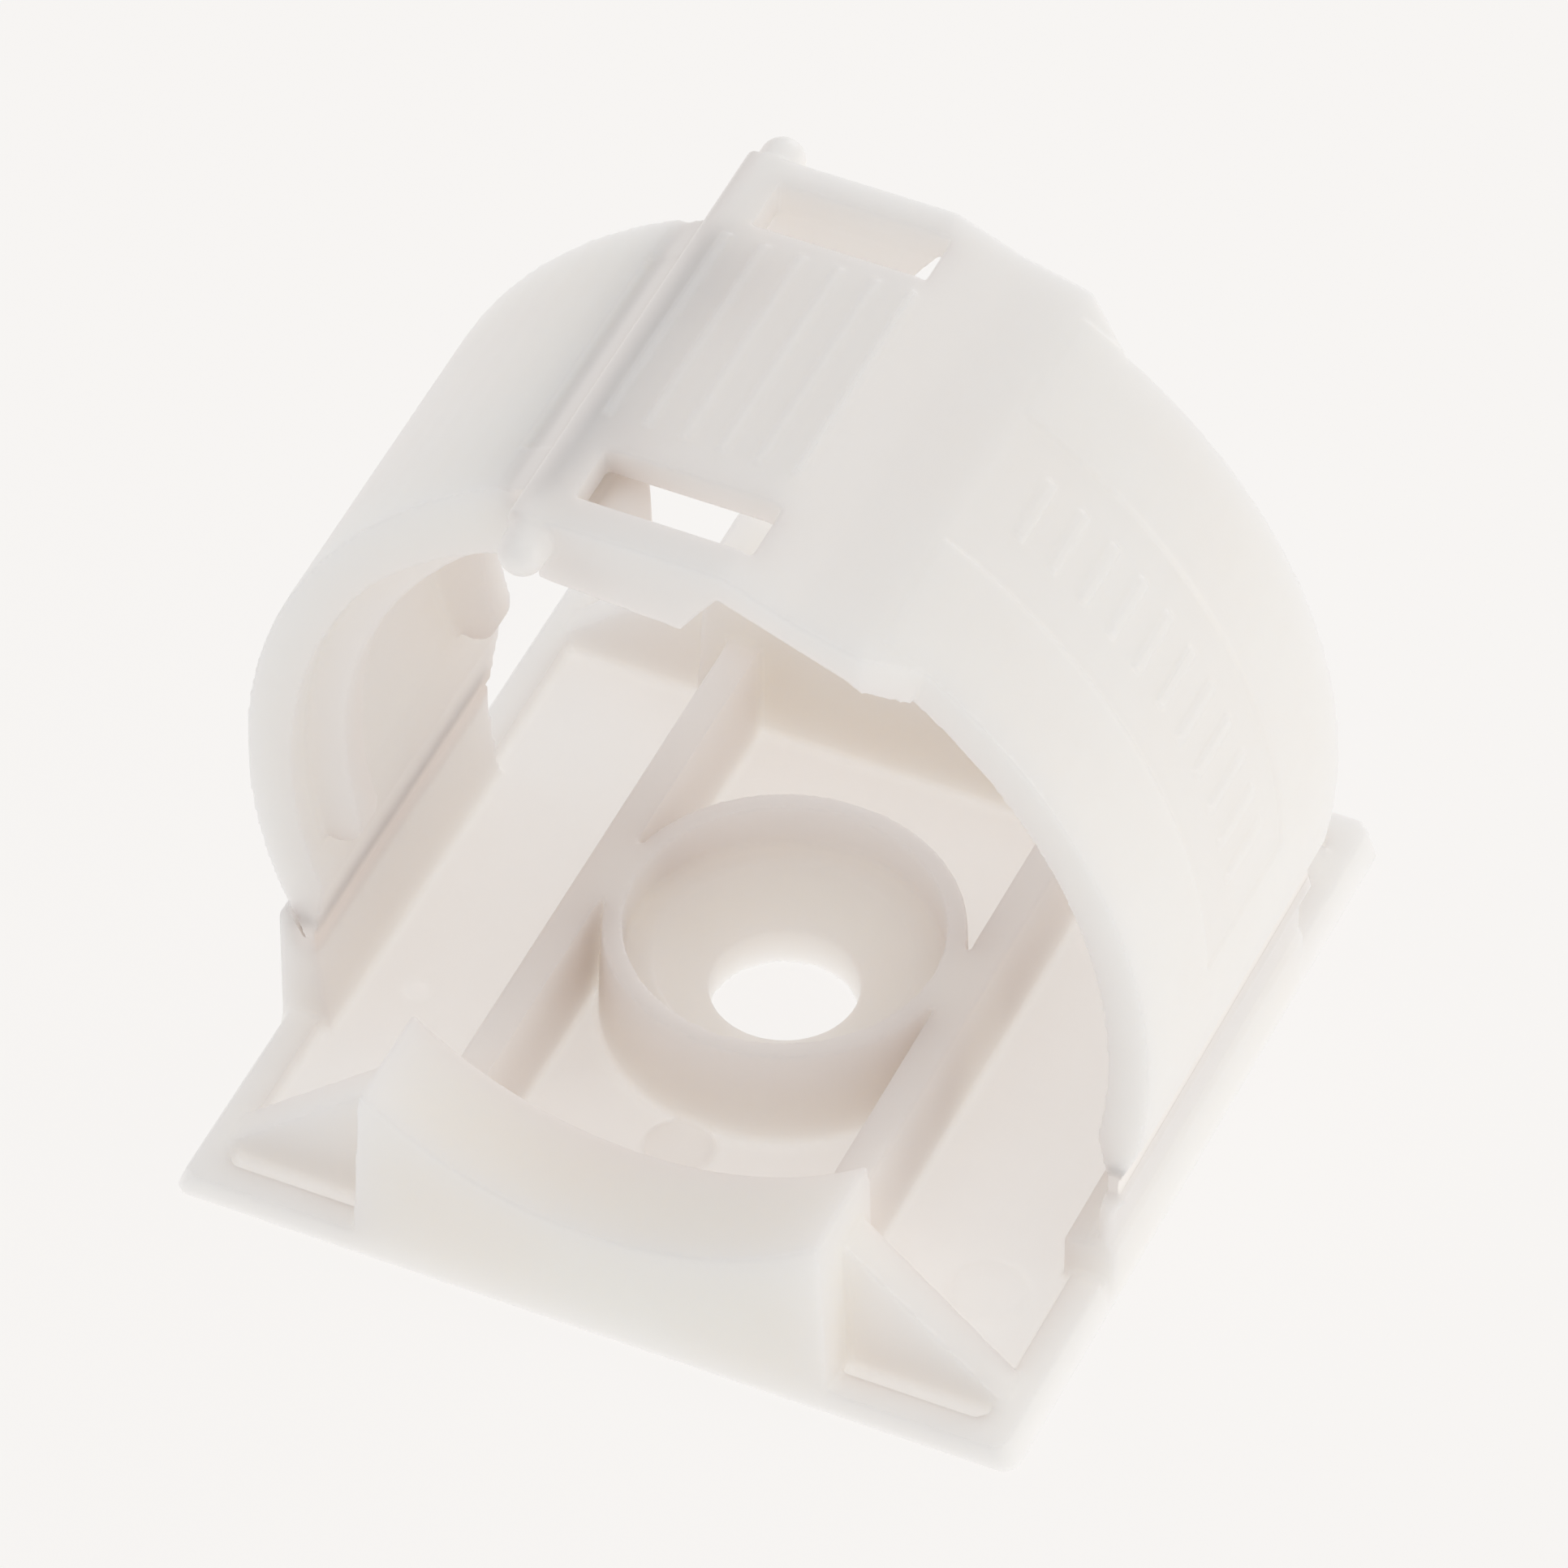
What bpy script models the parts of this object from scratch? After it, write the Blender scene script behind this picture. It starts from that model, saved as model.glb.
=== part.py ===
"""Hinged clip for a 22 mm pipe, moulded in one piece: a screw-down base, two straps on living
hinges, and a snap latch. Metres, +Z up, +X to the right, +Y to the back. The origin is under the
middle of the base.
"""

import math

import bmesh
import bpy
from mathutils import Matrix

GAP = 0.0003  # clearance left between neighbouring pieces
BURY = 0.0010  # how far an added feature reaches into the body that carries it

# Base
BASE_WIDTH = 0.0280
BASE_DEPTH = 0.0287
RIM_HEIGHT = 0.0010
RIM_DRAFT = 0.0004
RIM_WIDTH = 0.0011
FLOOR = 0.0005

# Saddles that the pipe lies on, one along the front edge and one along the back
SADDLE_RADIUS = 0.01144
SADDLE_CENTRE_Z = 0.01584
SADDLE_TOP = 0.0072
SADDLE_HALF_WIDTH = 0.0075
SADDLE_FOOT_HALF_WIDTH = 0.0079
SADDLE_THICKNESS = 0.00377
GUSSET_THICKNESS = 0.00135
GUSSET_SETBACK = 0.0017
GUSSET_TOP = 0.0057
GUSSET_END_X = 0.0129

# Screw boss in the middle, and the two ribs that run past it from saddle to saddle
BOSS_RADIUS = 0.0056
BOSS_TOP = 0.0042
COUNTERBORE_RADIUS = 0.00497
SEAT_SHOULDER_Z = 0.0027
SEAT_RADIUS = 0.0041
HOLE_RADIUS = 0.00233
HOLE_LAND = 0.0015
RIB_INNER_X = 0.0056
RIB_OUTER_X = 0.0067
PAD_RADIUS = 0.00115
PAD_TOP = 0.0010
PAD_Y = 0.00677

# Lugs: a low block on each side of the base, and on it the wall that carries a hinge web
LUG_INNER_X = 0.0123
LUG_INNER_TOP = 0.0021
LUG_BLOCK_TOP = 0.0024
LUG_STEP = 0.0004
LUG_OUTER_X = 0.0139
RIGHT_WALL_X = (0.0134, 0.01385)
RIGHT_WALL_BOTTOM = 0.0027
RIGHT_WALL_TOP = 0.0040
RIGHT_SWELL = (0.01415, 0.0045)
LEFT_LIP_TOP = (-0.0137, 0.0051)
LEFT_LIP_OUTER_TOP = 0.0048

# The right strap, its hinge and the latch are centred a little behind the middle of the base
RING_Y = 0.00055
STRAP_HALF_DEPTH = 0.00735
RIGHT_WEB_HALF_DEPTH = 0.0063
RIGHT_AXIS = (0.0139, 0.0054)
RIGHT_WEB = (0.0137, 0.0140)
RIGHT_CENTRE = (-0.0026, 0.01018)
RIGHT_OUTER = 0.0176
RIGHT_INNER = 0.01618
RIGHT_START = math.radians(-9.5)
NECK_START = math.radians(53.5)
NECK_END = math.radians(59.0)

# The left strap: a rim on each edge, a bead along its end, and a crescent rib inside each edge
LEFT_AXIS = (-0.0130, 0.0045)
LEFT_WEB = (-0.01325, -0.01285)
LEFT_STRAP_Y = (-0.0068, 0.0058)
LEFT_LUG_Y = (-0.0068, 0.0055)
LEFT_HEEL = (-0.01375, 0.0059)
LEFT_CENTRE = (0.0018, 0.0119)
LEFT_OUTER = 0.0166
LEFT_INNER_LOW = 0.01508
LEFT_INNER_TOP = 0.0134
LEFT_START = math.radians(199.0)
LEFT_STEP = math.radians(118.0)
LEFT_TONGUE = math.radians(116.0)
CRESCENT_CENTRE = (0.00095, 0.0126)
CRESCENT_RADIUS = 0.01285
CRESCENT_THICKNESS = 0.0012
CRESCENT_SETBACK = 0.00095
CRESCENT_END_CENTRE = (-0.0127, 0.0095)
CRESCENT_END_RADIUS = 0.0012
CRESCENT_TOP = math.radians(122)
CRESCENT_BOTTOM = math.radians(193)
CRESCENT_BACK = (math.radians(189), math.radians(134))
RIM_STEPS = 18
TONGUE_END_X = -0.0044
BEAD_CENTRE = (-0.0032, 0.0245)
BEAD_RADIUS = 0.00095
BEAD_SWEEP = (math.radians(150), math.radians(-80))

# The latch: a plate that slopes down to the strap, two skirts, two windows, a bar and ridges
PLATE_LEFT = -0.0046
PLATE_TOP = 0.0269
PLATE_UNDER = 0.02585
PLATE_HALF_DEPTH = 0.0085
SLOPE_TOP = ((0.00154, PLATE_TOP), (0.00356, 0.02604), (0.00586, 0.02542))
SLOPE_UNDER = ((0.00586, 0.0243), (0.00543, 0.0243), (0.00336, 0.0251), (0.00136, PLATE_UNDER))
SHOULDER_X = 0.0050
SHOULDER_Z = (0.0246, 0.0253)
SHOULDER_END = math.radians(60.5)
SKIRT_THICKNESS = 0.0010
SKIRT_X = (-0.00435, 0.00017, 0.00136)
SKIRT_BOTTOM = (0.02435, 0.0242)
BAR_CENTRE = (-0.0046, 0.02605)
BAR_RADIUS = 0.00085
BAR_HALF_DEPTH = 0.00995
WINDOW_X = (-0.0037, 0.00185)
WINDOW_WIDTH = 0.0019
WINDOW_CENTRE_Y = 0.0063
RIDGE_FIRST_X = -0.00435
RIDGE_PITCH = 0.00121
RIDGE_COUNT = 6
RIDGE_HALF_WIDTH = 0.0002
RIDGE_HEIGHT = 0.0002
RIDGE_HALF_LENGTH = 0.0043

ARC_STEP = math.radians(5)
ROUND_SEGMENTS = 48


def clear_scene():
    for thing in list(bpy.data.objects):
        bpy.data.objects.remove(thing)


def new_collection(name):
    made = bpy.data.collections.new(name)
    bpy.context.scene.collection.children.link(made)
    return made


def plastic(name, colour):
    """Natural polypropylene, a little milky."""
    made = bpy.data.materials.new(name)
    made.use_nodes = True
    shader = made.node_tree.nodes["Principled BSDF"]
    shader.inputs["Base Color"].default_value = (*colour, 1)
    shader.inputs["Roughness"].default_value = 0.42
    shader.inputs["Metallic"].default_value = 0
    return made


def arc(centre, radius, start, end):
    """Points in X and Z on an arc, from angle start to angle end."""
    steps = max(2, math.ceil(abs(end - start) / ARC_STEP))
    angles = [start + (end - start) * i / steps for i in range(steps + 1)]
    return [
        (centre[0] + radius * math.cos(a), centre[1] + radius * math.sin(a)) for a in angles
    ]


def weld(mesh):
    work = bmesh.new()
    work.from_mesh(mesh)
    bmesh.ops.remove_doubles(work, verts=work.verts, dist=1e-6)
    bmesh.ops.recalc_face_normals(work, faces=work.faces)
    work.to_mesh(mesh)
    work.free()


def prism(name, outline, front, back):
    """A solid with this outline in X and Z, between the planes y = front and y = back."""
    curve = bpy.data.curves.new(name, "CURVE")
    curve.dimensions = "2D"
    curve.fill_mode = "BOTH"
    curve.extrude = (back - front) / 2
    spline = curve.splines.new("POLY")
    spline.points.add(len(outline) - 1)
    for point, (x, z) in zip(spline.points, outline):
        point.co = (x, z, 0, 1)
    spline.use_cyclic_u = True
    drawn = bpy.data.objects.new(name + "_outline", curve)
    middle = Matrix.Translation((0, (front + back) / 2, 0))
    drawn.matrix_world = middle @ Matrix.Rotation(math.radians(90), 4, "X")
    helpers.objects.link(drawn)
    graph = bpy.context.evaluated_depsgraph_get()
    mesh = bpy.data.meshes.new_from_object(drawn.evaluated_get(graph))
    weld(mesh)
    made = bpy.data.objects.new(name, mesh)
    made.matrix_world = drawn.matrix_world.copy()
    helpers.objects.link(made)
    bpy.data.objects.remove(drawn)
    return made


def block(name, x, y, z):
    """A box between two X, two Y and two Z values."""
    return prism(name, [(x[0], z[0]), (x[1], z[0]), (x[1], z[1]), (x[0], z[1])], *y)


def turned(name, low_radius, high_radius, z, centre_y=0.0):
    """An upright cylinder or cone about x = 0."""
    mesh = bpy.data.meshes.new(name)
    work = bmesh.new()
    bmesh.ops.create_cone(
        work,
        cap_ends=True,
        segments=ROUND_SEGMENTS,
        radius1=low_radius,
        radius2=high_radius,
        depth=z[1] - z[0],
    )
    work.to_mesh(mesh)
    work.free()
    made = bpy.data.objects.new(name, mesh)
    made.location = (0, centre_y, (z[0] + z[1]) / 2)
    helpers.objects.link(made)
    return made


def combine(solid, operation, others):
    """Adds a Boolean modifier for each of the others, which become hidden tools of the solid."""
    for other in others:
        modifier = solid.modifiers.new(other.name, "BOOLEAN")
        modifier.operation = operation
        modifier.solver = "EXACT"
        modifier.object = other
        other.hide_render = True
        other.display_type = "WIRE"
        bpy.context.view_layer.update()
        other.parent = solid
        other.matrix_parent_inverse = solid.matrix_world.inverted()


def finish(solid, material, pivot=None):
    """Moves a finished solid to the clip's own collection, shades it, and hangs it on its axis."""
    helpers.objects.unlink(solid)
    clip.objects.link(solid)
    solid.data.materials.clear()
    solid.data.materials.append(material)
    solid.data.shade_smooth()
    solid.data.set_sharp_from_angle(angle=math.radians(35))
    if pivot:
        bpy.context.view_layer.update()
        solid.parent = pivot
        solid.matrix_parent_inverse = pivot.matrix_world.inverted()


def axis_empty(name, place, parent=None):
    """An empty on a joint's axis."""
    made = bpy.data.objects.new(name, None)
    made.empty_display_size = 0.004
    made.location = (place[0], RING_Y, place[1])
    clip.objects.link(made)
    bpy.context.view_layer.update()
    if parent:
        made.parent = parent
        made.matrix_parent_inverse = parent.matrix_world.inverted()
        bpy.context.view_layer.update()
    return made


def mirrored(outline):
    return [(-x, z) for x, z in reversed(outline)]


def saddle_outline():
    reach = math.asin(SADDLE_HALF_WIDTH / SADDLE_RADIUS)
    down = math.radians(-90)
    hollow = arc((0, SADDLE_CENTRE_Z), SADDLE_RADIUS, down + reach, down - reach)
    return [(-SADDLE_FOOT_HALF_WIDTH, FLOOR / 2), (SADDLE_FOOT_HALF_WIDTH, FLOOR / 2)] + hollow


def gusset_outline():
    return [
        (SADDLE_HALF_WIDTH - BURY, FLOOR / 2),
        (GUSSET_END_X, FLOOR / 2),
        (GUSSET_END_X, RIM_HEIGHT),
        (SADDLE_HALF_WIDTH, GUSSET_TOP),
        (SADDLE_HALF_WIDTH - BURY, GUSSET_TOP),
    ]


def right_lug_outline():
    """A low block, and on it a thin wall with a small swelling under the hinge web."""
    wall_inner, wall_outer = RIGHT_WALL_X
    web_z = RIGHT_AXIS[1] - 2 * GAP
    return [
        (LUG_INNER_X, FLOOR / 2),
        (LUG_OUTER_X, FLOOR / 2),
        (LUG_OUTER_X, LUG_BLOCK_TOP),
        (wall_outer, RIGHT_WALL_BOTTOM),
        (wall_outer, RIGHT_WALL_TOP),
        RIGHT_SWELL,
        (RIGHT_WEB[1], web_z),
        (RIGHT_WEB[0], web_z),
        (wall_inner, RIGHT_WALL_TOP),
        (wall_inner, RIGHT_WALL_BOTTOM),
        (wall_inner - LUG_STEP, LUG_BLOCK_TOP),
        (LUG_INNER_X, LUG_INNER_TOP),
    ]


def left_lug_outline():
    """A low block, and on it a wall whose top is the lower side of the hinge's V notch."""
    web_z = LEFT_AXIS[1] - 2 * GAP
    return [
        (-LUG_INNER_X, FLOOR / 2),
        (-LUG_INNER_X, LUG_INNER_TOP),
        (LEFT_WEB[1] + LUG_STEP, LUG_BLOCK_TOP),
        (LEFT_WEB[1], LUG_BLOCK_TOP + LUG_STEP),
        (LEFT_WEB[1], web_z),
        (LEFT_WEB[0], web_z),
        LEFT_LIP_TOP,
        (-LUG_OUTER_X, LEFT_LIP_OUTER_TOP),
        (-LUG_OUTER_X, FLOOR / 2),
    ]


def build_base(material):
    half_width = BASE_WIDTH / 2
    half_depth = BASE_DEPTH / 2
    top_half_width = half_width - RIM_DRAFT
    pocket_half_width = top_half_width - RIM_WIDTH / 2
    foot = [
        (-half_width, 0),
        (half_width, 0),
        (top_half_width, RIM_HEIGHT),
        (-top_half_width, RIM_HEIGHT),
    ]
    base = prism("base", foot, -half_depth, half_depth)
    pocket_y = half_depth - RIM_WIDTH / 2
    pocket = block(
        "floor_recess",
        (-pocket_half_width, pocket_half_width),
        (-pocket_y, pocket_y),
        (FLOOR, 2 * RIM_HEIGHT),
    )
    combine(base, "DIFFERENCE", [pocket])

    raised = []
    for side, sign in (("front", -1), ("back", 1)):
        near = sorted((sign * half_depth, sign * (half_depth - SADDLE_THICKNESS)))
        raised.append(prism(side + "_saddle", saddle_outline(), *near))
        outer = half_depth - GUSSET_SETBACK
        span = sorted((sign * outer, sign * (outer - GUSSET_THICKNESS)))
        raised.append(prism(side + "_right_gusset", gusset_outline(), *span))
        raised.append(prism(side + "_left_gusset", mirrored(gusset_outline()), *span))
        pad = turned(side + "_pad", PAD_RADIUS, PAD_RADIUS, (FLOOR / 2, PAD_TOP), sign * PAD_Y)
        raised.append(pad)
    rib_end = half_depth - SADDLE_THICKNESS / 2
    for side, sign in (("left", -1), ("right", 1)):
        across = sorted((sign * RIB_INNER_X, sign * RIB_OUTER_X))
        raised.append(
            block(side + "_rib", across, (-rib_end, rib_end), (FLOOR / 2, BOSS_TOP))
        )
    raised.append(turned("screw_boss", BOSS_RADIUS, BOSS_RADIUS, (FLOOR / 2, BOSS_TOP)))
    lug_y = (RING_Y - STRAP_HALF_DEPTH, RING_Y + STRAP_HALF_DEPTH)
    raised.append(prism("right_lug", right_lug_outline(), *lug_y))
    raised.append(prism("left_lug", left_lug_outline(), *LEFT_LUG_Y))
    combine(base, "UNION", raised)

    above = 2 * BOSS_TOP
    combine(
        base,
        "DIFFERENCE",
        [
            turned(
                "counterbore", COUNTERBORE_RADIUS, COUNTERBORE_RADIUS, (SEAT_SHOULDER_Z, above)
            ),
            turned("screw_seat", HOLE_RADIUS, SEAT_RADIUS, (HOLE_LAND, SEAT_SHOULDER_Z)),
            turned("screw_hole", HOLE_RADIUS, HOLE_RADIUS, (-RIM_HEIGHT, above)),
        ],
    )
    finish(base, material)


def build_living_hinge(name, across, along, axis_z, material):
    """The thin web between a lug and its strap. It stays with the base."""
    web = block(name, across, along, (axis_z - GAP, axis_z + GAP))
    finish(web, material)


def left_strap_outline():
    """From the hinge round the outside to the bead on the end, and back along the inside."""
    outside = arc(LEFT_CENTRE, LEFT_OUTER, LEFT_START, LEFT_STEP)
    seat_z = BAR_CENTRE[1] - BAR_RADIUS - GAP
    step_x = outside[-1][0]
    tongue = [(step_x + GAP, seat_z), (TONGUE_END_X, seat_z - GAP)]
    bead = arc(BEAD_CENTRE, BEAD_RADIUS, *BEAD_SWEEP)
    inside = []
    for i in range(RIM_STEPS + 1):
        share = i / RIM_STEPS
        angle = LEFT_TONGUE + (LEFT_START - LEFT_TONGUE) * share
        radius = LEFT_INNER_TOP + (LEFT_INNER_LOW - LEFT_INNER_TOP) * math.sqrt(share)
        inside += arc(LEFT_CENTRE, radius, angle, angle + ARC_STEP)[:1]
    foot_z = LEFT_AXIS[1] + 2 * GAP
    hinge_end = [(LEFT_WEB[1], foot_z), (LEFT_WEB[0], foot_z), LEFT_HEEL]
    return outside + tongue + bead + inside + hinge_end


def crescent_outline():
    """The rib that lines an edge of the left strap: it fades out above and ends rounded below."""
    inner = arc(CRESCENT_CENTRE, CRESCENT_RADIUS, CRESCENT_TOP, CRESCENT_BOTTOM)
    end = arc(CRESCENT_END_CENTRE, CRESCENT_END_RADIUS, 0, math.radians(-90))
    middle = (LEFT_OUTER + LEFT_INNER_LOW) / 2
    return inner + end + arc(LEFT_CENTRE, middle, *CRESCENT_BACK)


def build_left_strap(material, pivot):
    front, back = LEFT_STRAP_Y
    strap = prism("left_strap", left_strap_outline(), front, back)
    setback = CRESCENT_SETBACK
    rib_inner = setback + CRESCENT_THICKNESS
    ribs = [
        prism("front_crescent", crescent_outline(), front + setback, front + rib_inner),
        prism("back_crescent", crescent_outline(), back - rib_inner, back - setback),
    ]
    combine(strap, "UNION", ribs)
    finish(strap, material, pivot)


def build_right_strap(material, pivot):
    """A plain band that narrows to the hinge web at its foot."""
    foot_z = RIGHT_AXIS[1] + 2 * GAP
    outline = (
        [(RIGHT_WEB[0], foot_z), (RIGHT_WEB[1], foot_z)]
        + arc(RIGHT_CENTRE, RIGHT_OUTER, RIGHT_START, NECK_START)
        + arc(RIGHT_CENTRE, RIGHT_INNER, NECK_START, RIGHT_START)
    )
    front = RING_Y - STRAP_HALF_DEPTH
    back = RING_Y + STRAP_HALF_DEPTH
    strap = prism("right_strap", outline, front, back)
    finish(strap, material, pivot)


def build_latch_neck(material, pivot):
    clearance = GAP / RIGHT_INNER
    start = NECK_START + clearance
    end = NECK_END - clearance
    outline = arc(RIGHT_CENTRE, RIGHT_OUTER, start, end)
    outline += arc(RIGHT_CENTRE, RIGHT_INNER, end, start)
    front = RING_Y - STRAP_HALF_DEPTH
    back = RING_Y + STRAP_HALF_DEPTH
    neck = prism("latch_neck", outline, front, back)
    finish(neck, material, pivot)


def build_latch_plate(material, pivot):
    """A flat plate that slopes down to the strap, with skirts, windows, ridges and a pull bar."""
    front = RING_Y - PLATE_HALF_DEPTH
    back = RING_Y + PLATE_HALF_DEPTH
    level = [(PLATE_LEFT, PLATE_UNDER), (PLATE_LEFT, PLATE_TOP)]
    plate = prism("latch_plate", [*SLOPE_TOP, *SLOPE_UNDER, *level], front, back)

    strap_front = RING_Y - STRAP_HALF_DEPTH
    strap_back = RING_Y + STRAP_HALF_DEPTH
    shoulder = [(SHOULDER_X, SHOULDER_Z[1]), (SHOULDER_X, SHOULDER_Z[0])]
    shoulder += arc(RIGHT_CENTRE, RIGHT_INNER, SHOULDER_END, NECK_END)
    shoulder += arc(RIGHT_CENTRE, RIGHT_OUTER, NECK_END, SHOULDER_END)
    joined = [prism("shoulder", shoulder, strap_front, strap_back)]
    skirt_top = PLATE_UNDER + GAP
    skirt = [
        (SKIRT_X[0], SKIRT_BOTTOM[0]),
        (SKIRT_X[1], SKIRT_BOTTOM[1]),
        (SKIRT_X[2], skirt_top),
        (SKIRT_X[0], skirt_top),
    ]
    joined.append(prism("front_skirt", skirt, front, front + SKIRT_THICKNESS))
    joined.append(prism("back_skirt", skirt, back - SKIRT_THICKNESS, back))
    whole_turn = arc(BAR_CENTRE, BAR_RADIUS, 0, 2 * math.pi - ARC_STEP)
    bar_front = RING_Y - BAR_HALF_DEPTH
    bar_back = RING_Y + BAR_HALF_DEPTH
    joined.append(prism("pull_bar", whole_turn, bar_front, bar_back))
    for i in range(RIDGE_COUNT):
        middle = RIDGE_FIRST_X + i * RIDGE_PITCH
        across = (middle - RIDGE_HALF_WIDTH, middle + RIDGE_HALF_WIDTH)
        along = (RING_Y - RIDGE_HALF_LENGTH, RING_Y + RIDGE_HALF_LENGTH)
        height = (PLATE_TOP - RIDGE_HEIGHT, PLATE_TOP + RIDGE_HEIGHT)
        joined.append(block(f"ridge_{i + 1}", across, along, height))
    combine(plate, "UNION", joined)

    windows = []
    for side, sign in (("front", -1), ("back", 1)):
        middle = RING_Y + sign * WINDOW_CENTRE_Y
        along = (middle - WINDOW_WIDTH / 2, middle + WINDOW_WIDTH / 2)
        height = (PLATE_UNDER - GAP, PLATE_TOP + GAP)
        windows.append(block(side + "_window", WINDOW_X, along, height))
    combine(plate, "DIFFERENCE", windows)
    finish(plate, material, pivot)


clear_scene()
clip = new_collection("pipe_clip")
helpers = new_collection("pipe_clip_tools")
natural = plastic("natural_plastic", (0.80, 0.79, 0.76))
flexing = plastic("natural_plastic_thin", (0.86, 0.85, 0.82))

right_axis = axis_empty("right_hinge_axis", RIGHT_AXIS)
left_axis = axis_empty("left_hinge_axis", LEFT_AXIS)
neck_angle = (NECK_START + NECK_END) / 2
neck_radius = (RIGHT_OUTER + RIGHT_INNER) / 2
neck_place = arc(RIGHT_CENTRE, neck_radius, neck_angle, neck_angle + ARC_STEP)[0]
latch_axis = axis_empty("latch_flex_axis", neck_place, right_axis)

build_base(natural)
right_web_y = (RING_Y - RIGHT_WEB_HALF_DEPTH, RING_Y + RIGHT_WEB_HALF_DEPTH)
build_living_hinge("right_living_hinge", RIGHT_WEB, right_web_y, RIGHT_AXIS[1], flexing)
build_living_hinge("left_living_hinge", LEFT_WEB, LEFT_LUG_Y, LEFT_AXIS[1], flexing)
build_right_strap(natural, right_axis)
build_left_strap(natural, left_axis)
build_latch_neck(flexing, right_axis)
build_latch_plate(natural, latch_axis)
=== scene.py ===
"""Looks of the hinged pipe clip: translucent natural plastic on a light table.

Shapes are drawn in millimetres in the row frame (+Z up, +X to the right, +Y to the back) and
turned into metres when their meshes are made.
"""

import math

import bmesh
import bpy
from mathutils import Matrix, Quaternion, Vector


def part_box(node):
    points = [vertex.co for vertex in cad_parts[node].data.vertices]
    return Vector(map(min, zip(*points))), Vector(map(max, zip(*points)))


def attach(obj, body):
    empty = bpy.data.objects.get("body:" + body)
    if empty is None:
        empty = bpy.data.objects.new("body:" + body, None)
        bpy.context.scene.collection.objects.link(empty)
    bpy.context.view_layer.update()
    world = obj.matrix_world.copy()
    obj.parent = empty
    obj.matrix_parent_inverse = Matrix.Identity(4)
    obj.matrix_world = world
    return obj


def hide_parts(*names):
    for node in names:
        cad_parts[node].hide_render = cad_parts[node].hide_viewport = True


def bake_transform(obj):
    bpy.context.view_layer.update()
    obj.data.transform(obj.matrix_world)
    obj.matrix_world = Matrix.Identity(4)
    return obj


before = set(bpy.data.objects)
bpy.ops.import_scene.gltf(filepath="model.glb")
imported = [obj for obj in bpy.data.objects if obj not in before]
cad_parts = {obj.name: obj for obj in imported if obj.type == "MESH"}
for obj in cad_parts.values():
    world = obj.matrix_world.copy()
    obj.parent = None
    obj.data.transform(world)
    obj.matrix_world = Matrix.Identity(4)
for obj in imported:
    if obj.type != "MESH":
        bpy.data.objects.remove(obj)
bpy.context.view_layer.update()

MM = 0.001

# Base
HALF_WIDTH = 14.0
HALF_DEPTH = 14.35
RIM_TOP = 1.0
RIM_TOP_HALF_WIDTH = 13.6
POCKET_HALF_WIDTH = 12.6
POCKET_HALF_DEPTH = 13.35
FLOOR = 0.5
SADDLE_RADIUS = 11.44
SADDLE_CENTRE_Z = 15.84
SADDLE_HALF_WIDTH = 7.5
SADDLE_FOOT = 7.9
SADDLE_INNER_Y = 10.58
BOSS_TOP = 4.2
COUNTERBORE_RADIUS = 4.97
SEAT_Z = 2.7
HOLE_RADIUS = 2.33

# Right strap and latch
RING_Y = 0.55
RIGHT_CENTRE = (-2.6, 10.18)
RIGHT_OUTER = 17.5
RIGHT_INNER = 16.15
RIGHT_STRAP_Y = (-6.8, 7.9)
PLATE_Y = (-7.95, 9.05)
PLATE_TOP = 26.9
RIGHT_AXIS_Z = 5.4
RIGHT_SEAM_Z = (5.0, 5.75)

# Left strap
LEFT_CENTRE = (1.8, 11.9)
LEFT_OUTER = 16.6
LEFT_RIM_INNER = 15.05
LEFT_SKIN_INNER = 15.75
LEFT_STRAP_Y = (-6.8, 5.8)
LEFT_RIB_SETBACK = 0.95
LEFT_RIB_WIDTH = 1.2
LEFT_SEAM_Z = 4.42
LEFT_FOOT = [
    (-12.3, 6.75),
    (-12.56, 5.2),
    (-12.66, 4.42),
    (-12.62, 3.6),
    (-13.04, 3.6),
    (-13.04, 4.42),
    (-13.62, 5.85),
]

# Lines along Y where separate pieces meet. Light can't pass from one to the other there, so near them
# the plastic is opaque and its colour is painted paler: painted light.
SEAMS = ((-12.87, LEFT_SEAM_Z), (13.9, RIGHT_AXIS_Z), (-5.45, 26.7))
SEAM_GAP = 0.005
FADE_START = 0.25
FADE_END = 0.9

# Stage
WORLD_COLOUR = (1.0, 0.982, 0.98, 1)
WORLD_STRENGTH = 0.555
SOFTBOX_SIZE = 0.4
SOFTBOX_AIM = (0, 0, 0.012)
DIFFUSE_BOUNCES = 12


# ---------------------------------------------------------------- shapes


def arc(centre, radius, start, end, step=4.0):
    """Points on an arc, from angle start to angle end in degrees."""
    count = max(2, math.ceil(abs(end - start) / step))
    angles = [math.radians(start + (end - start) * i / count) for i in range(count + 1)]
    return [(centre[0] + radius * math.cos(a), centre[1] + radius * math.sin(a)) for a in angles]


def rounded(corners, steps=5):
    """A polygon whose corners (x, z, radius) are rounded off."""
    points = []
    for i, (x, z, radius) in enumerate(corners):
        here = Vector((x, z))
        if radius <= 0:
            points.append((x, z))
            continue
        before = (Vector(corners[i - 1][:2]) - here).normalized()
        after = (Vector(corners[(i + 1) % len(corners)][:2]) - here).normalized()
        half = before.angle(after) / 2
        reach = radius / math.tan(half)
        centre = here + (before + after).normalized() * radius / math.sin(half)
        first = here + before * reach - centre
        last = here + after * reach - centre
        for k in range(steps + 1):
            points.append(tuple(centre + first.slerp(last, k / steps) * radius))
    return points


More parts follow.
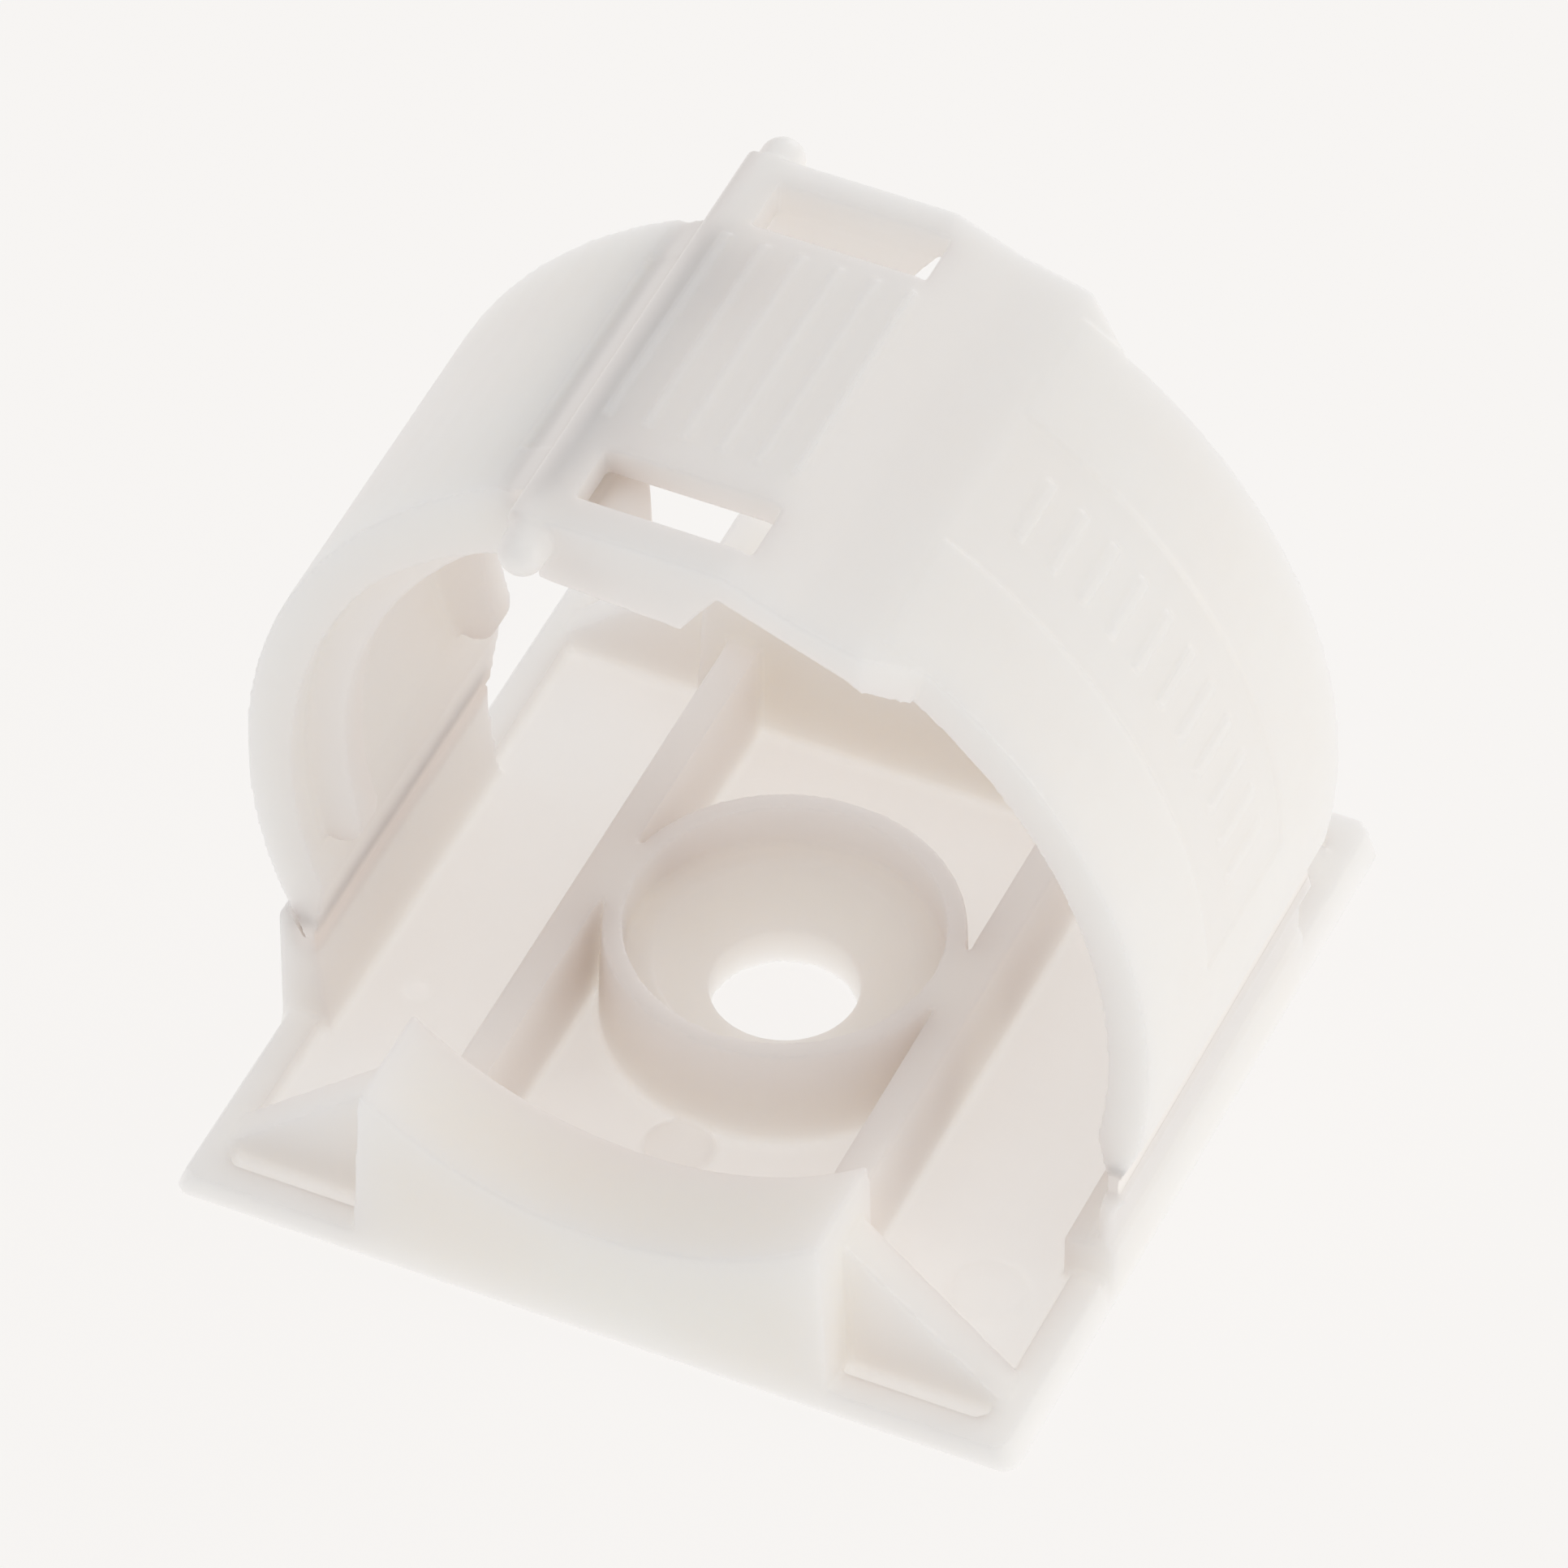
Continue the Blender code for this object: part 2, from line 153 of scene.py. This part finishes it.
def prism(outline, low, high, plane="XZ"):
    """A closed solid: an outline in XZ swept along Y, or one in XY swept along Z."""
    work = bmesh.new()
    if plane == "XZ":
        verts = [work.verts.new((x * MM, low * MM, z * MM)) for x, z in outline]
        move = Vector((0, (high - low) * MM, 0))
    else:
        verts = [work.verts.new((x * MM, y * MM, low * MM)) for x, y in outline]
        move = Vector((0, 0, (high - low) * MM))
    face = work.faces.new(verts)
    swept = bmesh.ops.extrude_face_region(work, geom=[face])
    moved = [item for item in swept["geom"] if isinstance(item, bmesh.types.BMVert)]
    bmesh.ops.translate(work, verts=moved, vec=move)
    bmesh.ops.recalc_face_normals(work, faces=work.faces)
    return solid_from(work, "prism")


def box(x, y, z, corner=0.0):
    """A block between two X, two Y and two Z values, its upright edges rounded."""
    plan = [(x[0], y[0], corner), (x[1], y[0], corner), (x[1], y[1], corner), (x[0], y[1], corner)]
    return prism(rounded(plan), z[0], z[1], "XY")


def cone(low_radius, high_radius, low, high, place=(0, 0), segments=96):
    """An upright cylinder or cone."""
    work = bmesh.new()
    middle = Vector((place[0], place[1], (low + high) / 2)) * MM
    bmesh.ops.create_cone(
        work,
        cap_ends=True,
        segments=segments,
        radius1=low_radius * MM,
        radius2=high_radius * MM,
        depth=(high - low) * MM,
        matrix=Matrix.Translation(middle),
    )
    return solid_from(work, "cone")


def capsule(radius, x, z, y):
    """A bar along Y with round ends, from end to end between the two Y values."""
    work = bmesh.new()
    bmesh.ops.create_uvsphere(work, u_segments=32, v_segments=24, radius=radius * MM)
    half = (y[1] - y[0]) / 2 - radius
    bmesh.ops.rotate(work, verts=work.verts, matrix=Matrix.Rotation(math.pi / 2, 3, "X"))
    for vert in work.verts:
        if abs(vert.co.y) > 1e-7:
            vert.co.y += math.copysign(half * MM, vert.co.y)
    middle = Vector((x, (y[0] + y[1]) / 2, z)) * MM
    bmesh.ops.translate(work, verts=work.verts, vec=middle)
    return solid_from(work, "capsule")


def solid_from(work, name):
    """A new object in the scene, made from a bmesh."""
    mesh = bpy.data.meshes.new(name)
    work.to_mesh(mesh)
    work.free()
    made = bpy.data.objects.new(name, mesh)
    bpy.context.scene.collection.objects.link(made)
    return made


def apply_modifiers(obj):
    graph = bpy.context.evaluated_depsgraph_get()
    mesh = bpy.data.meshes.new_from_object(obj.evaluated_get(graph))
    obj.modifiers.clear()
    obj.data = mesh


def combine(solid, operation, tools):
    """Joins the tools to the solid, or cuts them from it, one after another."""
    for tool in tools:
        modifier = solid.modifiers.new("tool", "BOOLEAN")
        modifier.operation = operation
        modifier.solver = "EXACT"
        modifier.object = tool
        apply_modifiers(solid)
        bpy.data.objects.remove(tool)
    return solid


def trim(solid, place, away):
    """Cuts off what lies beyond a plane, and closes the cut flat."""
    work = bmesh.new()
    work.from_mesh(solid.data)
    geometry = work.verts[:] + work.edges[:] + work.faces[:]
    point = Vector(place) * MM
    bmesh.ops.bisect_plane(work, geom=geometry, plane_co=point, plane_no=away, clear_outer=True)
    rim = [edge for edge in work.edges if edge.is_boundary]
    bmesh.ops.triangle_fill(work, edges=rim, use_beauty=True)
    bmesh.ops.recalc_face_normals(work, faces=work.faces)
    work.to_mesh(solid.data)
    work.free()
    keep_creases(solid)


def keep_creases(solid):
    """Marks sharp edges, so that shading isn't averaged across a flat cut."""
    solid.data.set_sharp_from_angle(angle=math.radians(50))


def soften(solid, name, voxel, smooth, keep):
    """Gives the sharp solid the soft edges and fillets of a moulding."""
    remesh = solid.modifiers.new("remesh", "REMESH")
    remesh.mode = "VOXEL"
    remesh.voxel_size = voxel * MM
    remesh.adaptivity = 0
    relax = solid.modifiers.new("relax", "SMOOTH")
    relax.factor = 0.5
    relax.iterations = smooth
    thin = solid.modifiers.new("thin", "DECIMATE")
    thin.ratio = keep
    apply_modifiers(solid)
    solid.name = name
    solid.data.name = name
    solid.data.shade_smooth()
    return solid


# ---------------------------------------------------------------- materials


def distance_from_seams(nodes, links, place):
    """How far a point is from the nearest of the lines, along Y, where separate pieces meet."""
    flat = nodes.new("ShaderNodeVectorMath")
    flat.operation = "MULTIPLY"
    flat.inputs[1].default_value = (1, 0, 1)
    links.new(place, flat.inputs[0])
    nearest = None
    for x, z in SEAMS:
        away = nodes.new("ShaderNodeVectorMath")
        away.operation = "DISTANCE"
        away.inputs[1].default_value = (x * MM, 0, z * MM)
        links.new(flat.outputs["Vector"], away.inputs[0])
        if nearest is None:
            nearest = away.outputs["Value"]
            continue
        least = nodes.new("ShaderNodeMath")
        least.operation = "MINIMUM"
        links.new(nearest, least.inputs[0])
        links.new(away.outputs["Value"], least.inputs[1])
        nearest = least.outputs["Value"]
    return nearest


def plastic(name, tint, deep):
    """Natural polypropylene: milky and satin, with faint flow marks. It is opaque near a seam, and
    there its colour is painted paler: painted light that stands in for the light which would shine
    through the plastic.
    """
    made = bpy.data.materials.new(name)
    made.use_nodes = True
    nodes = made.node_tree.nodes
    links = made.node_tree.links
    shader = nodes["Principled BSDF"]
    shader.inputs["Roughness"].default_value = 0.38
    shader.inputs["IOR"].default_value = 1.49
    shader.inputs["Subsurface Radius"].default_value = (1.0, 0.97, 0.92)
    shader.inputs["Subsurface Scale"].default_value = 0.0035

    place = nodes.new("ShaderNodeTexCoord")
    fade = nodes.new("ShaderNodeMapRange")
    fade.interpolation_type = "SMOOTHSTEP"
    fade.inputs["From Min"].default_value = FADE_START * MM
    fade.inputs["From Max"].default_value = FADE_END * MM
    seams = distance_from_seams(nodes, links, place.outputs["Object"])
    links.new(seams, fade.inputs["Value"])
    links.new(fade.outputs["Result"], shader.inputs["Subsurface Weight"])

    clouds = nodes.new("ShaderNodeTexNoise")
    clouds.inputs["Scale"].default_value = 120
    clouds.inputs["Detail"].default_value = 4
    links.new(place.outputs["Object"], clouds.inputs["Vector"])
    mix = nodes.new("ShaderNodeValToRGB")
    mix.color_ramp.elements[0].position = 0.3
    mix.color_ramp.elements[0].color = (*deep, 1)
    mix.color_ramp.elements[1].position = 0.7
    mix.color_ramp.elements[1].color = (*tint, 1)
    links.new(clouds.outputs["Fac"], mix.inputs["Fac"])
    # Near a seam the base colour is mixed towards a pale cream: painted light, standing in for the
    # light that can't shine through there.
    seam_painted_light = nodes.new("ShaderNodeMix")
    seam_painted_light.data_type = "RGBA"
    seam_painted_light.inputs[6].default_value = (0.98, 0.945, 0.915, 1)
    links.new(fade.outputs["Result"], seam_painted_light.inputs[0])
    links.new(mix.outputs["Color"], seam_painted_light.inputs[7])
    links.new(seam_painted_light.outputs[2], shader.inputs["Base Color"])

    grain = nodes.new("ShaderNodeTexNoise")
    grain.inputs["Scale"].default_value = 2600
    grain.inputs["Detail"].default_value = 3
    links.new(place.outputs["Object"], grain.inputs["Vector"])
    waves = nodes.new("ShaderNodeTexNoise")
    waves.inputs["Scale"].default_value = 260
    waves.inputs["Detail"].default_value = 2
    links.new(place.outputs["Object"], waves.inputs["Vector"])
    fine = nodes.new("ShaderNodeBump")
    fine.inputs["Strength"].default_value = 0.08
    fine.inputs["Distance"].default_value = 0.00003
    links.new(grain.outputs["Fac"], fine.inputs["Height"])
    broad = nodes.new("ShaderNodeBump")
    broad.inputs["Strength"].default_value = 0.15
    broad.inputs["Distance"].default_value = 0.00012
    links.new(waves.outputs["Fac"], broad.inputs["Height"])
    links.new(fine.outputs["Normal"], broad.inputs["Normal"])
    links.new(broad.outputs["Normal"], shader.inputs["Normal"])
    return made


def light_table():
    """The pale floor glows evenly, like the light table that the clip lies on."""
    made = bpy.data.materials.new("light_table")
    made.use_nodes = True
    shader = made.node_tree.nodes["Principled BSDF"]
    shader.inputs["Base Color"].default_value = (0.10, 0.10, 0.10, 1)
    shader.inputs["Roughness"].default_value = 0.9
    shader.inputs["Specular IOR Level"].default_value = 0.0
    shader.inputs["Emission Color"].default_value = (0.985, 0.965, 0.945, 1)
    shader.inputs["Emission Strength"].default_value = 0.87
    return made


# ---------------------------------------------------------------- base


def saddle_outline():
    reach = math.degrees(math.asin(SADDLE_HALF_WIDTH / SADDLE_RADIUS))
    inset = 1.0
    hollow = arc((0, SADDLE_CENTRE_Z), SADDLE_RADIUS, reach - inset - 90, inset - reach - 90)
    top_z = SADDLE_CENTRE_Z - SADDLE_RADIUS * math.cos(math.radians(reach))
    right = [
        (SADDLE_FOOT, FLOOR / 2),
        (SADDLE_HALF_WIDTH + 0.1, top_z - 0.6),
        (SADDLE_HALF_WIDTH + 0.05, top_z - 0.2),
        (SADDLE_HALF_WIDTH - 0.06, top_z - 0.05),
    ]
    left = [(-x, z) for x, z in reversed(right)]
    return right + hollow + left


def gusset_outline():
    return [
        (SADDLE_HALF_WIDTH - 1.0, FLOOR / 2),
        (13.1, FLOOR / 2),
        (12.9, RIM_TOP + 0.05),
        (SADDLE_HALF_WIDTH + 0.2, 5.7),
        (SADDLE_HALF_WIDTH - 1.0, 5.7),
    ]


def left_lug_outline():
    """A wall whose outer lip stands up beside the foot of the strap, over the V notch."""
    return rounded(
        [
            (-12.25, FLOOR / 2, 0),
            (-12.62, 3.6, 0),
            (-12.66, 4.42, 0),
            (-12.56, 5.2, 0),
            (-12.3, 6.75, 0),
            (-13.1, 7.2, 0),
            (-13.55, 6.0, 0),
            (-13.6, 5.4, 0.05),
            (-13.95, 5.0, 0.2),
            (-13.95, FLOOR / 2, 0),
        ]
    )


def right_lug_outline():
    """A low block, and on it a thin neck with a small swelling under the hinge web."""
    return rounded(
        [
            (12.3, FLOOR / 2, 0),
            (14.0, FLOOR / 2, 0),
            (14.0, 2.35, 0.15),
            (13.86, 2.6, 0.1),
            (13.85, 3.9, 0.2),
            (14.22, 4.64, 0.2),
            (14.08, 5.0, 0),
            (14.03, 5.4, 0),
            (14.14, 5.8, 0),
            (13.6, 5.8, 0),
            (13.69, 5.4, 0),
            (13.6, 5.0, 0),
            (13.4, 4.0, 0.3),
            (13.4, 2.7, 0.2),
            (13.0, 2.4, 0.1),
            (12.3, 2.35, 0.15),
        ]
    )


def build_base(material):
    base = box((-HALF_WIDTH, HALF_WIDTH), (-HALF_DEPTH, HALF_DEPTH), (0, RIM_TOP), corner=0.5)
    for vert in base.data.vertices:
        if vert.co.z > RIM_TOP * MM / 2:
            vert.co.x *= RIM_TOP_HALF_WIDTH / HALF_WIDTH
    pocket_x = (-POCKET_HALF_WIDTH, POCKET_HALF_WIDTH)
    pocket_y = (-POCKET_HALF_DEPTH, POCKET_HALF_DEPTH)
    combine(base, "DIFFERENCE", [box(pocket_x, pocket_y, (FLOOR, 2 * RIM_TOP), corner=0.4)])

    raised = []
    for sign in (-1, 1):
        near = sorted((sign * HALF_DEPTH, sign * SADDLE_INNER_Y))
        raised.append(prism(saddle_outline(), *near))
        span = sorted((sign * 12.65, sign * 11.3))
        raised.append(prism(gusset_outline(), *span))
        raised.append(prism([(-x, z) for x, z in reversed(gusset_outline())], *span))
        raised.append(cone(1.2, 1.05, FLOOR / 2, 0.7, (-0.47, sign * 6.77)))
        across = sorted((sign * 5.6, sign * 6.7))
        raised.append(box(across, (-12.0, 12.0), (FLOOR / 2, BOSS_TOP)))
    raised.append(cone(5.75, 5.6, FLOOR / 2, BOSS_TOP))
    raised.append(prism(right_lug_outline(), *RIGHT_STRAP_Y))
    raised.append(prism(left_lug_outline(), LEFT_STRAP_Y[0], 5.5))
    combine(base, "UNION", raised)

    seat = cone(HOLE_RADIUS, 4.1, 1.5, SEAT_Z + 0.001)
    bore = cone(COUNTERBORE_RADIUS, COUNTERBORE_RADIUS, SEAT_Z, 9)
    hole = cone(HOLE_RADIUS, HOLE_RADIUS, -1, 9)
    pin_mark = cone(0.5, 0.5, FLOOR - 0.07, 2, (-10.6, -4.0))
    combine(base, "DIFFERENCE", [bore, seat, hole, pin_mark])
    ring_mark = cone(1.2, 1.2, FLOOR / 2, FLOOR + 0.07, (10.5, -8.2))
    combine(base, "UNION", [ring_mark])
    soften(base, "moulded_base", 0.11, 3, 0.3)
    above_left = [
        (-13.08, LEFT_SEAM_Z),
        (-11, LEFT_SEAM_Z),
        (-11, 9),
        (-14.6, 9),
        (-14.6, 5.6),
        (-13.7, 5.6),
    ]
    above_right = box((12.5, 15), (-9, 10), (RIGHT_SEAM_Z[0], 7))
    combine(base, "DIFFERENCE", [prism(above_left, -8, 9), above_right])
    keep_creases(base)
    base.data.materials.append(material)
    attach(base, "base")
    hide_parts("base")
    return base


# ---------------------------------------------------------------- left strap


def left_inner(angle):
    """Inner radius of the strap's rims: thick at the foot, and dropping to the tongue at the top."""
    share = max(0.0, min(1.0, (angle - 116) / 30))
    return 13.35 + (LEFT_RIM_INNER - 13.35) * math.sqrt(share)


def left_band_outline():
    outside = arc(LEFT_CENTRE, LEFT_OUTER, 198.7, 119)
    outside += arc(LEFT_CENTRE, LEFT_OUTER - 0.14, 118.2, 115.5)
    tongue = rounded([(-5.35, 26.6, 0), (-5.35, 25.1, 0.2), (-4.6, 25.02, 0.3), (-3.9, 25.1, 0)])
    bead = arc((-3.2, 24.5), 0.95, 140, -80, 15)
    inside = []
    for i in range(26):
        angle = 116 + (197 - 116) * i / 25
        inside += arc(LEFT_CENTRE, left_inner(angle), angle, angle + 1)[:1]
    return outside + tongue[1:-1] + bead + inside + LEFT_FOOT


def crescent_outline():
    inner = arc((0.95, 12.6), 12.85, 122, 195)
    end = arc((-12.3, 8.9), 0.82, -10, -170, 12)
    outer = arc(LEFT_CENTRE, 15.9, 189, 134)
    return inner + end + outer


def build_left_strap(material):
    front, back = LEFT_STRAP_Y
    strap = prism(left_band_outline(), front, back)
    hollow = []
    for i in range(21):
        share = i / 20
        depth = (LEFT_SKIN_INNER - LEFT_RIM_INNER + 0.3) * math.sin(math.pi * share) ** 0.5 - 0.3
        angle = 197 - share * 68
        hollow += arc(LEFT_CENTRE, LEFT_RIM_INNER + depth, angle, angle + 1)[:1]
    hollow += arc(LEFT_CENTRE, 12.0, 129, 197)
    rim = LEFT_RIB_SETBACK
    combine(strap, "DIFFERENCE", [prism(hollow, front + rim, back - rim)])
    ribs = []
    for low in (front + rim, back - rim - LEFT_RIB_WIDTH):
        ribs.append(prism(crescent_outline(), low, low + LEFT_RIB_WIDTH))
    combine(strap, "UNION", ribs)
    hooks = [(-2.3, -7.2), (-2.15, -5.4), (-2.3, -4.5), (-2.8, -3.6), (-3.5, -2.9)]
    hooks += [(x, -1.0 - y) for x, y in reversed(hooks)]
    combine(strap, "DIFFERENCE", [prism(hooks + [(0, 7), (0, -8)], 20, 26.2, "XY")])
    grip = arc(LEFT_CENTRE, LEFT_OUTER - 0.2, 119.6, 114) + arc(LEFT_CENTRE, LEFT_OUTER + 1, 114, 119.6)
    combine(strap, "DIFFERENCE", [prism(grip, -4.9, 4.1)])
    soften(strap, "moulded_left_strap", 0.1, 3, 0.4)
    trim(strap, (0, 0, LEFT_SEAM_Z + SEAM_GAP), (0, 0, -1))
    strap.data.materials.append(material)
    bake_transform(strap)
    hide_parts("left_strap", "left_living_hinge")
    return strap


# ---------------------------------------------------------------- right strap and latch


def right_band_outline():
    foot = [(13.6, 5.8), (13.69, 5.4), (13.6, 5.0), (14.08, 5.0), (14.03, 5.4), (14.14, 5.8)]
    outside = arc(RIGHT_CENTRE, RIGHT_OUTER, -11.2, 60)
    inside = arc(RIGHT_CENTRE, RIGHT_INNER, 60, -10.4)
    return foot + outside + inside


def latch_outline():
    top = [
        (7.5, 24.44, 0),
        (5.86, 25.42, 0.8),
        (3.56, 26.04, 1.2),
        (1.54, PLATE_TOP, 0.8),
        (-5.42, PLATE_TOP, 0.3),
    ]
    under = [
        (-5.3, 26.1, 0),
        (-4.6, 25.85, 0),
        (1.36, 25.88, 0.4),
        (3.36, 25.1, 0.6),
        (5.43, 24.3, 0.6),
        (7.12, 23.2, 0),
    ]
    return rounded(top + under)


def build_right_strap(material):
    strap = prism(right_band_outline(), *RIGHT_STRAP_Y)
    latch = prism(latch_outline(), *PLATE_Y)
    wedges = []
    for edge, inner, out in ((PLATE_Y[0], RIGHT_STRAP_Y[0], -1), (PLATE_Y[1], RIGHT_STRAP_Y[1], 1)):
        plan = [
            (5.9, edge),
            (5.9, edge + out),
            (8.4, edge + out),
            (8.4, inner - out * 0.5),
            (7.5, inner),
        ]
        wedges.append(prism(plan if out > 0 else plan[::-1], 20, 28, "XY"))
    combine(latch, "DIFFERENCE", wedges)
    skirt = [(-4.4, 24.5), (0.17, 24.2), (0.77, 25.1), (1.5, 26.1), (-4.4, 26.1)]
    joined = [latch]
    joined.append(prism(skirt, PLATE_Y[0], PLATE_Y[0] + 1.0))
    joined.append(prism(skirt, PLATE_Y[1] - 1.0, PLATE_Y[1]))
    joined.append(capsule(0.74, -4.55, 26.1, (RING_Y - 9.9, RING_Y + 9.9)))
    for i in range(6):
        middle = -4.35 + i * 1.21
        joined.append(box((middle - 0.1, middle + 0.1), (-3.1, 5.35), (26.5, PLATE_TOP + 0.13)))
    combine(strap, "UNION", joined)

    windows = [box((-3.8, 1.85), (-6.6, -4.4), (25, 28)), box((-3.9, 1.75), (6.05, 8.0), (25, 28))]
    panel = arc(RIGHT_CENTRE, RIGHT_OUTER - 0.1, 2, 60) + arc(RIGHT_CENTRE, RIGHT_OUTER + 1, 60, 2)
    combine(strap, "DIFFERENCE", windows + [prism(panel, -2.3, 3.6)])
    bars = []
    for i in range(11):
        angle = 9 + i * 4.5
        rib = arc(RIGHT_CENTRE, RIGHT_OUTER + 0.02, angle - 0.6, angle + 0.6)
        rib += arc(RIGHT_CENTRE, RIGHT_OUTER - 0.5, angle + 0.6, angle - 0.6)
        bars.append(prism(rib, -0.4, 2.1))
    combine(strap, "UNION", bars)
    soften(strap, "moulded_right_strap", 0.085, 3, 0.4)
    trim(strap, (0, 0, RIGHT_SEAM_Z[1]), (0, 0, -1))
    strap.data.materials.append(material)
    neck_low, neck_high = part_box("latch_neck")
    middle = (neck_low + neck_high) / 2
    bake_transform(strap)
    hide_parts("right_strap", "latch_neck", "latch_plate")
    return strap


def build_right_web(material):
    """The thin web that bends between the right lug and its strap."""
    pinched = [
        (13.5, 4.4),
        (14.2, 4.6),
        (14.08, 5.0),
        (14.03, 5.4),
        (14.14, 5.8),
        (14.36, 6.4),
        (13.42, 6.4),
        (13.6, 5.8),
        (13.69, 5.4),
        (13.6, 5.0),
    ]
    web = prism(pinched, *RIGHT_STRAP_Y)
    soften(web, "moulded_right_web", 0.085, 3, 1.0)
    trim(web, (0, 0, RIGHT_SEAM_Z[0] + SEAM_GAP), (0, 0, -1))
    trim(web, (0, 0, RIGHT_SEAM_Z[1] - SEAM_GAP), (0, 0, 1))
    web.data.materials.append(material)
    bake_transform(web)
    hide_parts("right_living_hinge")
    return web


# ---------------------------------------------------------------- stage


def softbox(name, place, energy, colour=(1, 1, 1)):
    """A round soft lamp, turned towards the clip."""
    lamp = bpy.data.lights.new(name, "AREA")
    lamp.shape = "DISK"
    lamp.size = SOFTBOX_SIZE
    lamp.energy = energy
    lamp.color = colour
    made = bpy.data.objects.new(name, lamp)
    made.location = place
    aim = Vector(SOFTBOX_AIM) - made.location
    made.rotation_euler = aim.to_track_quat("-Z", "Y").to_euler()
    bpy.context.scene.collection.objects.link(made)


def build_stage():
    """The floor, the even light of the room and four soft lamps."""
    bpy.ops.mesh.primitive_plane_add(size=3, location=(0, 0, -0.0001))
    floor = bpy.context.object
    floor.name = "floor"
    floor.data.materials.append(light_table())

    world = bpy.data.worlds.new("studio")
    bpy.context.scene.world = world
    world.use_nodes = True
    background = world.node_tree.nodes["Background"]
    background.inputs["Color"].default_value = WORLD_COLOUR
    background.inputs["Strength"].default_value = WORLD_STRENGTH
    softbox("right_softbox", (0.60, 0.05, 0.16), 0.8, (1.0, 0.96, 0.88))
    softbox("left_softbox", (-0.58, 0.05, 0.18), 0.3)
    softbox("top_softbox", (0.06, 0.02, 0.58), 0.25)
    softbox("back_softbox", (0.05, 0.60, 0.20), 0.5)


def build_camera():
    """A long lens, from the front right and above, as in the photograph."""
    target = Vector((0.585, -1.405, 11.887)) * MM
    azimuth = math.radians(24.18)
    elevation = math.radians(45.69)
    roll = math.radians(0.246)
    level = math.cos(elevation)
    away = Vector((level * math.sin(azimuth), -level * math.cos(azimuth), math.sin(elevation)))
    camera = bpy.data.objects.new("camera", bpy.data.cameras.new("camera"))
    camera.data.lens = 298.1
    camera.data.sensor_width = 36
    camera.data.clip_start = 0.01
    camera.location = target + away * 0.3911
    camera.rotation_mode = "QUATERNION"
    camera.rotation_quaternion = (-away).to_track_quat("-Z", "Y") @ Quaternion((0, 0, 1), roll)
    bpy.context.scene.collection.objects.link(camera)
    bpy.context.scene.camera = camera


natural = plastic("natural_plastic", (0.972, 0.918, 0.880), (0.947, 0.888, 0.846))
thin = plastic("thin_plastic", (0.974, 0.921, 0.884), (0.949, 0.891, 0.850))
build_base(natural)
build_left_strap(natural)
build_right_strap(natural)
build_right_web(thin)
build_stage()
build_camera()
bpy.context.scene.view_settings.view_transform = "Standard"
# Light has to bounce often to reach the deep parts of the pale moulding.
bpy.context.scene.cycles.diffuse_bounces = DIFFUSE_BOUNCES
